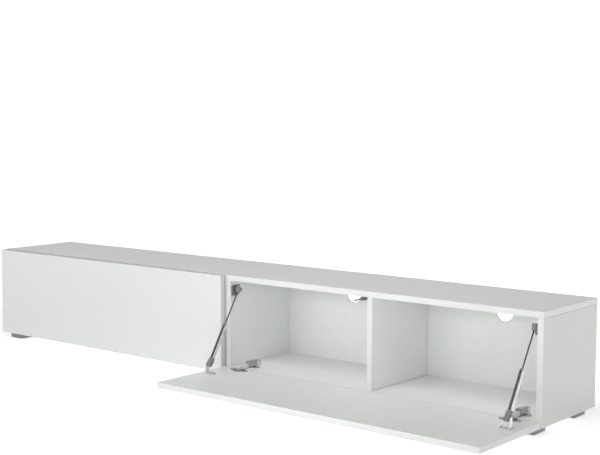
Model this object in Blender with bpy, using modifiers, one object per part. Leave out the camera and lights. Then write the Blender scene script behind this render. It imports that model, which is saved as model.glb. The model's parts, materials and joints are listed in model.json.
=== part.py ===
"""Low white media cabinet: two equal units side by side, each closed by a flap that opens downward.

Lengths are in metres. X runs along the cabinet, Y from front to rear and Z up. The left flap is
closed and the right one is open. Each unit is laid out from its front left corner: x along the
front, y from the closed flap's outer face to the rear, z from the floor.
"""

import math

import bmesh
import bpy
from mathutils import Vector

# Driving sizes of the cabinet
LENGTH = 2.0
HEIGHT = 0.300
DEPTH = 0.308
BOARD = 0.016
FOOT_HEIGHT = 0.020
UNIT_SEAM = 0.0006
FIT = 0.0003
EDGE = 0.0006

# Back panel and its cable holes
BACK_THICKNESS = 0.003
BACK_INSET = 0.014
GROOVE_DEPTH = 0.006
REAR_OVERHANG = 0.002
CABLE_HOLE_RADIUS = 0.025
CABLE_HOLE_DROP = 0.046
DIVIDER_SETBACK = 0.003

# Feet
FOOT_SIZE = 0.056
FOOT_END_INSET = 0.019
FOOT_FRONT_INSET = 0.002
FOOT_REAR_INSET = 0.018

# Flap
FLAP_GAP = 0.004
FLAP_TOP_REVEAL = 0.001
FLAP_END_REVEAL = 0.0015

# Concealed hinge
HINGE_INSET = 0.070
CUP_RADIUS = 0.0175
CUP_WALL = 0.001
CUP_DEPTH = 0.0125
CUP_FROM_EDGE = 0.003
FLANGE_LENGTH = 0.060
FLANGE_WIDTH = 0.017
FLANGE_THICKNESS = 0.0012
RIM_WIDTH = 0.001
PIN_RADIUS = 0.0014
EYE_RADIUS = 0.0028
NECK_WIDTH = 0.008
NECK_THICKNESS = 0.0036
ARM_WIDTH = 0.016
ARM_WALL = 0.0017
ARM_RISE = 0.019
ARM_END = 0.068
PLATE_ROW = 0.037
PLATE_THICKNESS = 0.002
PLATE_SPAN = 0.048
PLATE_WIDTH = 0.016
SCREW_PITCH = 0.032
SCREW_HOLE = 0.0022

# Gas strut
STRUT_FROM_PANEL = 0.016
STRUT_TOP_BACK = 0.018
STRUT_TOP_DROP = 0.026
STUD_HEIGHT = 0.024
TUBE_RADIUS = 0.0065
ROD_RADIUS = 0.002
ROD_GUIDE = 0.0099
BALL_RADIUS = 0.004
BALL_NECK = 0.0025
SOCKET_RADIUS = 0.0062
SLEEVE_RADIUS = 0.0078
SLEEVE_LENGTH = 0.006
FORK_HALF = 0.0075
FORK_TOP = 0.008
ROD_SOCKET_LENGTH = 0.009
TUBE_SOCKET_LENGTH = 0.015
TUBE_FLOOR = 0.003
STRUT_END_PLAY = 0.0015
BRACKET_SHEET = 0.002

# Push latch
LATCH_FROM_DIVIDER = 0.014
LATCH_SIZE = 0.0105
LATCH_LENGTH = 0.077
PLUNGER_RADIUS = 0.0038
PLUNGER_SHANK = 0.0017
PLUNGER_TIP = 0.0026
PLUNGER_NOSE = 0.0155
PLUNGER_LENGTH = 0.058
PLUNGER_REACH = 0.033

# Derived sizes shared by several pieces
UNIT = (LENGTH - UNIT_SEAM) / 2
CARCASS_FRONT = BOARD + FLAP_GAP
FLOOR_TOP = FOOT_HEIGHT + BOARD
CEILING = HEIGHT - BOARD
PANEL_REAR = DEPTH - REAR_OVERHANG
BACK_FRONT = PANEL_REAR - BACK_INSET - FIT
BACK_REAR = BACK_FRONT + BACK_THICKNESS
PIVOT_Y = BOARD / 2
PIVOT_Z = FOOT_HEIGHT + BOARD / 2
FLAP_TOP = HEIGHT - FLAP_TOP_REVEAL
FLAP_REACH = FLAP_TOP - PIVOT_Z
FLAP_FACE = BOARD / 2
OPEN_FRONT = PIVOT_Y - FLAP_REACH
OPEN_ANGLE = math.pi / 2
CUP_CENTRE = CUP_FROM_EDGE + CUP_RADIUS - BOARD / 2

# Name of a finish: colour, roughness, metallic
FINISHES = {
    "white_board": ((0.79, 0.79, 0.78, 1.0), 0.42, 0.0),
    "white_back": ((0.74, 0.74, 0.73, 1.0), 0.55, 0.0),
    "foot_metal": ((0.55, 0.55, 0.56, 1.0), 0.38, 0.85),
    "nickel": ((0.66, 0.65, 0.63, 1.0), 0.26, 1.0),
    "bright_steel": ((0.72, 0.72, 0.72, 1.0), 0.32, 1.0),
    "chrome": ((0.78, 0.78, 0.79, 1.0), 0.12, 1.0),
    "dark_bracket": ((0.09, 0.09, 0.095, 1.0), 0.45, 0.3),
    "dark_plastic": ((0.05, 0.05, 0.055, 1.0), 0.5, 0.0),
    "grey_plastic": ((0.16, 0.16, 0.17, 1.0), 0.5, 0.0),
}


def new_collection(name):
    collection = bpy.data.collections.new(name)
    bpy.context.scene.collection.children.link(collection)
    return collection


def clear_scene():
    for obj in list(bpy.data.objects):
        bpy.data.objects.remove(obj, do_unlink=True)


clear_scene()
PARTS = new_collection("media_cabinet")
CUTTERS = new_collection("cutters")


def finish_object(name, mesh, parent, finish):
    """Link a mesh as a part with its own material or, with no finish, as a hidden tool."""
    obj = bpy.data.objects.new(name, mesh)
    obj.parent = parent
    if finish is None:
        obj.hide_render = True
        obj.display_type = "WIRE"
        CUTTERS.objects.link(obj)
        return obj
    colour, roughness, metallic = FINISHES[finish]
    material = bpy.data.materials.new(name)
    material.use_nodes = True
    shader = material.node_tree.nodes["Principled BSDF"]
    shader.inputs["Base Color"].default_value = colour
    shader.inputs["Roughness"].default_value = roughness
    shader.inputs["Metallic"].default_value = metallic
    material.diffuse_color = colour
    mesh.materials.append(material)
    PARTS.objects.link(obj)
    return obj


def mesh_from(name, bm, smooth=False):
    bmesh.ops.recalc_face_normals(bm, faces=bm.faces)
    mesh = bpy.data.meshes.new(name)
    bm.to_mesh(mesh)
    bm.free()
    if smooth:
        mesh.polygons.foreach_set("use_smooth", [True] * len(mesh.polygons))
        mesh.set_sharp_from_angle(angle=math.radians(35))
    return mesh


def empty(name, parent, location, turn=0.0):
    """A holder on an axis that runs along X, turned about it."""
    obj = bpy.data.objects.new(name, None)
    obj.empty_display_size = 0.02
    obj.parent = parent
    obj.location = location
    obj.rotation_euler = (turn, 0.0, 0.0)
    PARTS.objects.link(obj)
    return obj


def bevel(obj, width, segments=1):
    modifier = obj.modifiers.new("rounded_edges", "BEVEL")
    modifier.width = width
    modifier.segments = segments
    modifier.limit_method = "ANGLE"
    modifier.angle_limit = math.radians(40)


def block(name, low, high, parent, finish=None, edge=0.0, segments=1):
    low = Vector(low)
    high = Vector(high)
    bm = bmesh.new()
    bmesh.ops.create_cube(bm, size=1.0)
    bmesh.ops.scale(bm, vec=high - low, verts=bm.verts)
    obj = finish_object(name, mesh_from(name, bm), parent, finish)
    obj.location = (low + high) / 2
    if edge:
        bevel(obj, edge, segments)
    return obj


def cylinder(name, radius, start, end, parent, finish=None, segments=20, end_radius=None):
    start = Vector(start)
    end = Vector(end)
    bm = bmesh.new()
    bmesh.ops.create_cone(
        bm,
        cap_ends=True,
        segments=segments,
        radius1=radius,
        radius2=radius if end_radius is None else end_radius,
        depth=(end - start).length,
    )
    obj = finish_object(name, mesh_from(name, bm, smooth=True), parent, finish)
    obj.location = (start + end) / 2
    obj.rotation_euler = (end - start).to_track_quat("Z", "Y").to_euler()
    return obj


def ball(name, radius, centre, parent):
    bm = bmesh.new()
    bmesh.ops.create_uvsphere(bm, u_segments=14, v_segments=8, radius=radius)
    obj = finish_object(name, mesh_from(name, bm, smooth=True), parent, None)
    obj.location = centre
    return obj


def side_profile(name, outline, x_low, x_high, parent, finish=None):
    """An outline in the Y-Z plane, extruded along X."""
    curve = bpy.data.curves.new(name, "CURVE")
    curve.dimensions = "2D"
    curve.fill_mode = "BOTH"
    curve.extrude = (x_high - x_low) / 2
    spline = curve.splines.new("POLY")
    spline.points.add(len(outline) - 1)
    for point, (y, z) in zip(spline.points, outline):
        point.co = (y, z, 0.0, 1.0)
    spline.use_cyclic_u = True
    guide = bpy.data.objects.new(name + "_outline", curve)
    bpy.context.scene.collection.objects.link(guide)
    graph = bpy.context.evaluated_depsgraph_get()
    bm = bmesh.new()
    bm.from_mesh(bpy.data.meshes.new_from_object(guide.evaluated_get(graph)))
    bmesh.ops.remove_doubles(bm, verts=bm.verts, dist=1e-6)
    bpy.data.objects.remove(guide, do_unlink=True)
    obj = finish_object(name, mesh_from(name, bm), parent, finish)
    obj.location = ((x_low + x_high) / 2, 0.0, 0.0)
    obj.rotation_euler = (math.pi / 2, 0.0, math.pi / 2)
    return obj


def turned(name, profile, parent, location, rotation, finish=None, steps=28):
    """Radius and height points, from the axis up and over and down the outer side."""
    mesh = bpy.data.meshes.new(name)
    edges = [(i, i + 1) for i in range(len(profile) - 1)]
    mesh.from_pydata([(radius, 0.0, height) for radius, height in profile], edges, [])
    obj = finish_object(name, mesh, parent, finish)
    obj.location = location
    obj.rotation_euler = rotation
    screw = obj.modifiers.new("turned", "SCREW")
    screw.steps = steps
    screw.render_steps = steps
    screw.use_merge_vertices = True
    screw.merge_threshold = 1e-5
    screw.use_smooth_shade = False
    return obj


def combine(target, tool, operation):
    modifier = target.modifiers.new(tool.name, "BOOLEAN")
    modifier.operation = operation
    modifier.solver = "EXACT"
    modifier.object = tool


def cut(target, *tools):
    for tool in tools:
        combine(target, tool, "DIFFERENCE")


def join(target, *tools):
    for tool in tools:
        combine(target, tool, "UNION")


def arc(centre, radius, start, end, count):
    """Points of an arc in the Y-Z plane, with its ends, angles in degrees from +Y."""
    angles = [math.radians(start + (end - start) * i / (count - 1)) for i in range(count)]
    return [(centre[0] + radius * math.cos(a), centre[1] + radius * math.sin(a)) for a in angles]


def carcass(unit, name):
    """The fixed boards of one unit and the thin back in its grooves."""
    inner_low = BOARD
    inner_high = UNIT - BOARD
    middle = UNIT / 2
    top = block(
        name + "top", (0, CARCASS_FRONT, CEILING), (UNIT, DEPTH, HEIGHT), unit, "white_board", EDGE
    )
    bottom = block(
        name + "bottom",
        (inner_low + FIT, CARCASS_FRONT, FOOT_HEIGHT),
        (inner_high - FIT, PANEL_REAR, FLOOR_TOP),
        unit,
        "white_board",
        EDGE,
    )
    end_left = block(
        name + "end_left",
        (0, CARCASS_FRONT, FOOT_HEIGHT),
        (BOARD, PANEL_REAR, CEILING - FIT),
        unit,
        "white_board",
        EDGE,
    )
    end_right = block(
        name + "end_right",
        (UNIT - BOARD, CARCASS_FRONT, FOOT_HEIGHT),
        (UNIT, PANEL_REAR, CEILING - FIT),
        unit,
        "white_board",
        EDGE,
    )
    block(
        name + "divider",
        (middle - BOARD / 2, CARCASS_FRONT + DIVIDER_SETBACK, FLOOR_TOP + FIT),
        (middle + BOARD / 2, BACK_FRONT - FIT, CEILING - FIT),
        unit,
        "white_board",
        EDGE,
    )
    back = block(
        name + "back",
        (inner_low - GROOVE_DEPTH, BACK_FRONT, FLOOR_TOP - GROOVE_DEPTH),
        (inner_high + GROOVE_DEPTH, BACK_REAR, CEILING + GROOVE_DEPTH),
        unit,
        "white_back",
    )
    groove_front = BACK_FRONT - FIT
    groove_rear = BACK_REAR + FIT
    reach = GROOVE_DEPTH + FIT
    cut(
        top,
        block(
            name + "top_groove",
            (inner_low - reach, groove_front, CEILING - BOARD),
            (inner_high + reach, groove_rear, CEILING + reach),
            unit,
        ),
    )
    cut(
        bottom,
        block(
            name + "bottom_groove",
            (0, groove_front, FLOOR_TOP - reach),
            (UNIT, groove_rear, FLOOR_TOP + BOARD),
            unit,
        ),
    )
    cut(
        end_left,
        block(
            name + "left_groove",
            (inner_low - reach, groove_front, 0),
            (inner_low + BOARD, groove_rear, HEIGHT),
            unit,
        ),
    )
    cut(
        end_right,
        block(
            name + "right_groove",
            (inner_high - BOARD, groove_front, 0),
            (inner_high + reach, groove_rear, HEIGHT),
            unit,
        ),
    )
    hole_height = CEILING - CABLE_HOLE_DROP
    for label, centre in (
        ("left_hole", (inner_low + middle - BOARD / 2) / 2),
        ("right_hole", (inner_high + middle + BOARD / 2) / 2),
    ):
        cut(
            back,
            cylinder(
                name + label,
                CABLE_HOLE_RADIUS,
                (centre, BACK_FRONT - BOARD, hole_height),
                (centre, BACK_REAR + BOARD, hole_height),
                unit,
                segments=40,
            ),
        )


def feet(unit, name):
    front = CARCASS_FRONT + FOOT_FRONT_INSET
    rear = DEPTH - FOOT_REAR_INSET
    for depth_label, y in (("front", front), ("rear", rear - FOOT_SIZE)):
        for side_label, x in (
            ("left", FOOT_END_INSET),
            ("right", UNIT - FOOT_END_INSET - FOOT_SIZE),
        ):
            block(
                f"{name}foot_{depth_label}_{side_label}",
                (x, y, 0),
                (x + FOOT_SIZE, y + FOOT_SIZE, FOOT_HEIGHT - FIT),
                unit,
                "foot_metal",
                0.0012,
            )


def hinge_cup(pivot, name, x):
    """The pan with its flange and fixed pin, in the flap's frame."""
    face = FLAP_FACE + FIT
    rim = CUP_RADIUS + RIM_WIDTH
    inner = CUP_RADIUS - CUP_WALL
    floor = -CUP_DEPTH
    chamfer = CUP_WALL * 1.5
    top = face - FLAP_FACE + FLANGE_THICKNESS
    cup = turned(
        name,
        [
            (0, floor + CUP_WALL),
            (inner, floor + CUP_WALL),
            (inner, top),
            (rim, top),
            (rim, face - FLAP_FACE),
            (CUP_RADIUS, face - FLAP_FACE),
            (CUP_RADIUS, floor + chamfer),
            (CUP_RADIUS - chamfer, floor),
            (0, floor),
        ],
        pivot,
        (x, FLAP_FACE, CUP_CENTRE),
        (-math.pi / 2, 0, 0),
        "nickel",
    )
    flange = block(
        name + "_flange",
        (x - FLANGE_LENGTH / 2, face, CUP_CENTRE - FLANGE_WIDTH / 2),
        (x + FLANGE_LENGTH / 2, face + FLANGE_THICKNESS * 0.9, CUP_CENTRE + FLANGE_WIDTH / 2),
        pivot,
    )
    mouth = cylinder(
        name + "_mouth",
        inner + CUP_WALL / 2,
        (x, FLAP_FACE - BOARD / 2, CUP_CENTRE),
        (x, FLAP_FACE + BOARD / 2, CUP_CENTRE),
        pivot,
        segments=32,
    )
    cut(flange, mouth)
    for side in (-1, 1):
        hole_x = x + side * (FLANGE_LENGTH / 2 - SCREW_HOLE - 0.004)
        screw_hole = cylinder(
            f"{name}_hole_{side + 1}",
            SCREW_HOLE,
            (hole_x, FLAP_FACE - BOARD / 4, CUP_CENTRE),
            (hole_x, FLAP_FACE + BOARD / 4, CUP_CENTRE),
            pivot,
            segments=12,
        )
        cut(flange, screw_hole)
    cheek_foot = CUP_CENTRE + EYE_RADIUS * 0.8
    cheek_end = math.sqrt((CUP_RADIUS - CUP_WALL / 2) ** 2 - cheek_foot**2)
    pin = cylinder(
        name + "_pin",
        PIN_RADIUS,
        (x - cheek_end + CUP_WALL, 0, 0),
        (x + cheek_end - CUP_WALL, 0, 0),
        pivot,
        segments=16,
    )
    cheeks = []
    for side in (-1, 1):
        inner_x, outer_x = sorted((x + side * (NECK_WIDTH / 2 + 0.0012), x + side * cheek_end))
        cheeks.append(
            block(
                f"{name}_cheek_{side + 1}",
                (inner_x, FLAP_FACE - CUP_DEPTH + CUP_WALL / 2, -EYE_RADIUS * 0.8),
                (outer_x, EYE_RADIUS, EYE_RADIUS),
                pivot,
            )
        )
    join(cup, flange, *cheeks, pin)
    return cup


def hinge_arm(axis, name, x):
    """The cranked arm: an eye round the pin, a neck and a pressed channel over its plate."""
    clear = FLAP_FACE + FLANGE_THICKNESS + FIT + 0.0007
    neck_top = clear + NECK_THICKNESS
    half = NECK_THICKNESS / 2
    front = BOARD / 2 + FLAP_GAP + 0.004
    under = BOARD / 2 + FIT + PLATE_THICKNESS + FIT * 2
    crown = BOARD / 2 + ARM_RISE
    arm = side_profile(
        name,
        [
            (front, under),
            (ARM_END + BOARD / 2, under),
            (ARM_END + BOARD / 2, crown - 0.004),
            (ARM_END + BOARD / 2 - 0.003, crown - 0.001),
            (front + 0.020, crown),
            (front + 0.012, crown - 0.001),
            (front + 0.004, crown - 0.006),
            (front, neck_top + 0.002),
        ],
        x - ARM_WIDTH / 2,
        x + ARM_WIDTH / 2,
        axis,
        "nickel",
    )
    hollow = block(
        name + "_hollow",
        (x - ARM_WIDTH / 2 + ARM_WALL, front + 0.006, under - 0.01),
        (x + ARM_WIDTH / 2 - ARM_WALL, ARM_END + BOARD, crown - 0.0045),
        axis,
    )
    neck = side_profile(
        name + "_neck",
        [
            (-half, 0),
            (half, 0),
            (half, clear),
            (front + 0.003, clear),
            (front + 0.003, neck_top),
            (-half + 0.002, neck_top),
            (-half, neck_top - 0.002),
        ],
        x - NECK_WIDTH / 2,
        x + NECK_WIDTH / 2,
        axis,
    )
    eye = cylinder(
        name + "_eye",
        EYE_RADIUS,
        (x - NECK_WIDTH / 2 + FIT, 0, 0),
        (x + NECK_WIDTH / 2 - FIT, 0, 0),
        axis,
        segments=20,
    )
    bore = cylinder(
        name + "_bore",
        PIN_RADIUS + FIT,
        (x - NECK_WIDTH, 0, 0),
        (x + NECK_WIDTH, 0, 0),
        axis,
        segments=16,
    )
    cut(arm, hollow)
    join(arm, neck, eye)
    cut(arm, bore)
    return crown


def hinge_plate(axis, name, x, crown):
    """The mounting plate: a saddle under the arm and two wings screwed to the floor panel."""
    row = PLATE_ROW + BOARD / 2 + FLAP_GAP
    base = BOARD / 2 + FIT
    plate = block(
        name,
        (x - PLATE_SPAN / 2, row - PLATE_WIDTH / 2, base),
        (x + PLATE_SPAN / 2, row + PLATE_WIDTH / 2, base + PLATE_THICKNESS),
        axis,
        "nickel",
        0.0006,
    )
    saddle_half = ARM_WIDTH / 2 - ARM_WALL - FIT
    saddle = block(
        name + "_saddle",
        (x - saddle_half, row - PLATE_WIDTH, base + PLATE_THICKNESS / 4),
        (x + saddle_half, ARM_END + BOARD / 2 - 0.004, crown - 0.0045 - FIT),
        axis,
    )
    join(plate, saddle)
    for side in (-1, 1):
        hole_x = x + side * SCREW_PITCH / 2
        hole = cylinder(
            f"{name}_hole_{side + 1}", SCREW_HOLE, (hole_x, row, 0), (hole_x, row, crown), axis, segments=12
        )
        cut(plate, hole)


def strut_lines(reach):
    """The lines from the top ball to the stud at that reach along the flap, shut and open."""
    top = (CARCASS_FRONT + STRUT_TOP_BACK, CEILING - STRUT_TOP_DROP)
    lift = FLAP_FACE + STUD_HEIGHT
    shut = (PIVOT_Y + lift - top[0], PIVOT_Z + reach - top[1])
    wide = (PIVOT_Y - reach - top[0], PIVOT_Z + lift - top[1])
    return top, shut, wide


def furthest_stud():
    """The furthest stud along the flap at which the shut strut still holds its whole stroke."""
    ends = ROD_SOCKET_LENGTH + STRUT_END_PLAY + ROD_GUIDE + TUBE_FLOOR + TUBE_SOCKET_LENGTH
    near, far = 0.0, CEILING - STRUT_TOP_DROP - PIVOT_Z
    for _ in range(50):
        reach = (near + far) / 2
        top, shut, wide = strut_lines(reach)
        if 2 * math.hypot(*shut) - math.hypot(*wide) > ends:
            near = reach
        else:
            far = reach
    return near


def strut_geometry():
    """Reach, lengths and slopes of the strut between its top ball and its stud on the flap."""
    reach = furthest_stud()
    top, shut, wide = strut_lines(reach)
    shut_turn = math.atan2(shut[1], shut[0]) + math.pi / 2
    wide_turn = math.atan2(wide[1], wide[0]) + math.pi / 2
    return reach, top, math.hypot(*shut), math.hypot(*wide), shut_turn, wide_turn


def strut(unit, pivot, name, side, is_open):
    """One gas strut; side is -1 at the left end panel and 1 at the right one."""
    stud_reach, top, shut_length, wide_length, shut_turn, wide_turn = strut_geometry()
    panel = BOARD if side < 0 else UNIT - BOARD
    x = panel - side * STRUT_FROM_PANEL
    toward_panel = side * STRUT_FROM_PANEL
    tube_length = shut_length - ROD_SOCKET_LENGTH - TUBE_SOCKET_LENGTH - STRUT_END_PLAY
    rod_length = shut_length - TUBE_SOCKET_LENGTH - TUBE_FLOOR - FIT

    # Bracket on the end panel, with its ball
    holder = empty(name + "_top", unit, (x, top[0], top[1]))
    near = sorted((toward_panel - side * FIT, toward_panel - side * (FIT + BRACKET_SHEET)))
    outline = (
        arc((-0.004, 0.006), 0.006, 90, 180, 5)
        + arc((-0.004, -0.013), 0.006, 180, 270, 5)
        + arc((0.018, -0.015), 0.004, 270, 360, 4)
        + arc((0.018, 0.008), 0.004, 0, 90, 4)
    )
    bracket = side_profile(name + "_bracket", outline, near[0], near[1], holder, "dark_bracket")
    boss = cylinder(
        name + "_bracket_boss",
        0.0085,
        (toward_panel - side * 0.0015, 0, 0),
        (side * 0.0068, 0, 0),
        holder,
        segments=16,
        end_radius=0.0045,
    )
    stud = cylinder(
        name + "_bracket_stud", BALL_NECK, (side * 0.008, 0, 0), (0, 0, 0), holder, segments=12
    )
    join(bracket, boss, stud, ball(name + "_bracket_ball", BALL_RADIUS, (0, 0, 0), holder))
    for index, z in enumerate((-0.011, 0.005)):
        cut(
            bracket,
            cylinder(
                f"{name}_bracket_hole_{index}",
                SCREW_HOLE,
                (toward_panel - 0.006, 0.014, z),
                (toward_panel + 0.006, 0.014, z),
                holder,
                segments=12,
            ),
        )

    # Rod with the socket that closes round the ball
    swing = empty(name + "_swing", unit, (x, top[0], top[1]), wide_turn if is_open else shut_turn)
    rod = cylinder(
        name + "_rod",
        ROD_RADIUS,
        (0, 0, -rod_length),
        (0, 0, -ROD_SOCKET_LENGTH * 0.7),
        swing,
        "chrome",
        segments=16,
    )
    half = 0.0055
    fork = side_profile(
        name + "_rod_fork",
        [
            (-0.0032, -ROD_SOCKET_LENGTH),
            (0.0032, -ROD_SOCKET_LENGTH),
            (FORK_HALF, 0.001),
            (FORK_HALF, FORK_TOP - 0.002),
            (FORK_HALF - 0.002, FORK_TOP),
            (0.0022, FORK_TOP),
            (0, FORK_TOP - 0.0022),
            (-0.0022, FORK_TOP),
            (0.002 - FORK_HALF, FORK_TOP),
            (-FORK_HALF, FORK_TOP - 0.002),
            (-FORK_HALF, 0.001),
        ],
        -half,
        half,
        swing,
    )
    mouth = cylinder(
        name + "_rod_mouth", BALL_RADIUS * 0.9, (0, 0, 0), (side * 2 * half, 0, 0), swing, segments=16
    )
    join(rod, fork)
    cut(rod, ball(name + "_rod_seat", BALL_RADIUS + FIT, (0, 0, 0), swing), mouth)

    # Tube with the rod's bore, and the socket at its lower end
    length = wide_length if is_open else shut_length
    slide = empty(name + "_slide", swing, (0, 0, -length))
    tube = cylinder(
        name + "_tube",
        TUBE_RADIUS,
        (0, 0, TUBE_SOCKET_LENGTH),
        (0, 0, TUBE_SOCKET_LENGTH + tube_length),
        slide,
        "chrome",
        segments=24,
    )
    bevel(tube, 0.0007, 1)
    bore_start = TUBE_SOCKET_LENGTH + TUBE_FLOOR
    cut(
        tube,
        cylinder(
            name + "_tube_bore",
            ROD_RADIUS + FIT,
            (0, 0, bore_start),
            (0, 0, TUBE_SOCKET_LENGTH + tube_length + BOARD),
            slide,
            segments=16,
        ),
    )
    shoulder = TUBE_SOCKET_LENGTH - FIT
    socket = side_profile(
        name + "_socket",
        [(SOCKET_RADIUS * 1.08, shoulder), (-SOCKET_RADIUS * 1.08, shoulder)]
        + arc((0, 0), SOCKET_RADIUS, 180, 360, 13),
        -SOCKET_RADIUS,
        SOCKET_RADIUS,
        slide,
        "dark_plastic",
    )
    bevel(socket, 0.0007, 1)
    sleeve = cylinder(
        name + "_socket_sleeve",
        SLEEVE_RADIUS,
        (0, 0, shoulder - 0.003),
        (0, 0, shoulder + SLEEVE_LENGTH),
        slide,
        segments=24,
    )
    seat = cylinder(
        name + "_socket_seat",
        TUBE_RADIUS + FIT,
        (0, 0, shoulder),
        (0, 0, shoulder + SLEEVE_LENGTH * 2),
        slide,
        segments=24,
    )
    join(socket, sleeve)
    cut(socket, seat)

    # Bent bracket on the flap: its ear stands beside the socket, on the panel side
    ear_out = SLEEVE_RADIUS + FIT
    ear_low, ear_high = sorted((side * ear_out, side * (ear_out + BRACKET_SHEET)))
    base = FLAP_FACE + FIT
    eye = (FLAP_FACE + STUD_HEIGHT, stud_reach)
    ear_root = base + BRACKET_SHEET / 2
    ear = [(ear_root, stud_reach - 0.0075), (ear_root, stud_reach + 0.0085)]
    ear += arc(eye, 0.0062, 75, -75, 9)
    bracket_x = [x + ear_low, x + ear_high]
    flap_bracket = side_profile(
        name + "_flap_bracket", ear, bracket_x[0], bracket_x[1], pivot, "bright_steel"
    )
    foot_end = ear_out + BRACKET_SHEET * 0.85
    foot_low, foot_high = sorted((x - side * 0.020, x + side * foot_end))
    foot = block(
        name + "_flap_bracket_foot",
        (foot_low, base, stud_reach - 0.008),
        (foot_high, base + BRACKET_SHEET, stud_reach + 0.009),
        pivot,
    )
    join(flap_bracket, foot)
    for index, (hole_x, reach) in enumerate(((x - side * 0.015, 0.0005), (x - side * 0.003, 0.0005))):
        cut(
            flap_bracket,
            cylinder(
                f"{name}_flap_bracket_hole_{index}",
                SCREW_HOLE,
                (hole_x, 0, stud_reach + reach),
                (hole_x, BOARD, stud_reach + reach),
                pivot,
                segments=12,
            ),
        )


def latch(unit, name, is_open):
    """The push latch under the top panel: housing with side lugs, and its plunger."""
    x = UNIT / 2 - BOARD / 2 - LATCH_FROM_DIVIDER
    roof = CEILING - FIT
    front = CARCASS_FRONT + 0.001
    axis_z = roof - LATCH_SIZE / 2
    body = block(
        name + "latch_body",
        (x - LATCH_SIZE / 2, front, roof - LATCH_SIZE),
        (x + LATCH_SIZE / 2, front + LATCH_LENGTH, roof),
        unit,
        "grey_plastic",
        0.0008,
        2,
    )
    lugs = block(
        name + "latch_lugs",
        (x - 0.0125, front + 0.030, roof - 0.0028),
        (x + 0.0125, front + 0.044, roof - 0.0001),
        unit,
    )
    join(body, lugs)
    for side in (-1, 1):
        lug_x = x + side * 0.0088
        cut(
            body,
            cylinder(
                f"{name}latch_hole_{side + 1}",
                0.0016,
                (lug_x, front + 0.037, roof - BOARD),
                (lug_x, front + 0.037, roof + BOARD),
                unit,
                segments=12,
            ),
        )
    shut_tip = BOARD + FIT
    open_tip = CARCASS_FRONT - PLUNGER_REACH
    cut(
        body,
        cylinder(
            name + "latch_bore",
            PLUNGER_RADIUS + FIT,
            (x, 0, axis_z),
            (x, shut_tip + PLUNGER_LENGTH + 0.002, axis_z),
            unit,
        ),
    )
    tip = PLUNGER_TIP
    turned(
        name + "latch_plunger",
        [(0, 0)]
        + [
            (tip * math.sin(math.radians(a)), -tip + tip * math.cos(math.radians(a)))
            for a in (25, 50, 75, 100, 125)
        ]
        + [
            (PLUNGER_SHANK, -0.0052),
            (PLUNGER_SHANK, -PLUNGER_NOSE),
            (PLUNGER_RADIUS, -PLUNGER_NOSE * 2),
            (PLUNGER_RADIUS, -PLUNGER_LENGTH),
            (0, -PLUNGER_LENGTH),
        ],
        unit,
        (x, open_tip if is_open else shut_tip, axis_z),
        (math.pi / 2, 0, 0),
        "dark_plastic",
        steps=20,
    )


def flap(unit, name, is_open):
    """The flap on its axis, with the cups and strut brackets that turn with it."""
    pivot = empty(name + "flap_pivot", unit, (0, PIVOT_Y, PIVOT_Z), OPEN_ANGLE if is_open else 0.0)
    board = block(
        name + "flap",
        (FLAP_END_REVEAL, -BOARD / 2, -BOARD / 2),
        (UNIT - FLAP_END_REVEAL, BOARD / 2, FLAP_REACH),
        pivot,
        "white_board",
        EDGE,
    )
    axis = empty(name + "hinge_axis", unit, (0, PIVOT_Y, PIVOT_Z))
    for label, x in (("hinge_left", HINGE_INSET), ("hinge_right", UNIT - HINGE_INSET)):
        cut(
            board,
            cylinder(
                f"{name}{label}_recess",
                CUP_RADIUS + FIT,
                (x, FLAP_FACE - CUP_DEPTH - FIT, CUP_CENTRE),
                (x, FLAP_FACE + BOARD, CUP_CENTRE),
                pivot,
                segments=40,
            ),
        )
        hinge_cup(pivot, f"{name}{label}_cup", x)
        crown = hinge_arm(axis, f"{name}{label}_arm", x)
        hinge_plate(axis, f"{name}{label}_plate", x, crown)
    strut(unit, pivot, name + "strut_left", -1, is_open)
    strut(unit, pivot, name + "strut_right", 1, is_open)


def build():
    front_to_centre = (OPEN_FRONT + DEPTH) / 2
    stand = empty("media_cabinet_origin", None, (-LENGTH / 2, -front_to_centre, 0))
    for name, offset, is_open in (
        ("left_unit_", 0.0, False),
        ("right_unit_", UNIT + UNIT_SEAM, True),
    ):
        unit = empty(name + "origin", stand, (offset, 0, 0))
        carcass(unit, name)
        feet(unit, name)
        flap(unit, name, is_open)
        latch(unit, name, is_open)
    bpy.context.view_layer.update()


build()
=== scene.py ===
"""Looks for the low white media cabinet: boards, feet, hinges, struts and latches.

All lengths are in metres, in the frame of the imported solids. The left flap is shut and the right
one is open.
"""

import json
import math

import bmesh
import bpy
from mathutils import Matrix, Vector


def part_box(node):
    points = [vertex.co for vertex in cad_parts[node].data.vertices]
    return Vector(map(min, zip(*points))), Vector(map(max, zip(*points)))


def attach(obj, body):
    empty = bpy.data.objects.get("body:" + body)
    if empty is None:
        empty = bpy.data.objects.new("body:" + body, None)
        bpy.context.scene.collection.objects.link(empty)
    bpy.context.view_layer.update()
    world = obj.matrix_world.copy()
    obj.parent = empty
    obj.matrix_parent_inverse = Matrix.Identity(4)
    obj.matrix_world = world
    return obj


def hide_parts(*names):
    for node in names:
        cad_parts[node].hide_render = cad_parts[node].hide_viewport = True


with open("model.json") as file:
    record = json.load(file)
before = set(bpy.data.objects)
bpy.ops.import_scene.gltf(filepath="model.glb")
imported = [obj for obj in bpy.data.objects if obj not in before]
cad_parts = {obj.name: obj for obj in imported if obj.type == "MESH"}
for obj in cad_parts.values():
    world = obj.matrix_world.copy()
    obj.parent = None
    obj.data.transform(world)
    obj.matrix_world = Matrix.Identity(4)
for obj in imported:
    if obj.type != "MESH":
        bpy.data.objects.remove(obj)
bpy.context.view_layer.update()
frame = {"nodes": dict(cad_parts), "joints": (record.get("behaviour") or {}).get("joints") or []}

# Sizes shared with the solids
BOARD = 0.016
FIT = 0.0003
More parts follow.
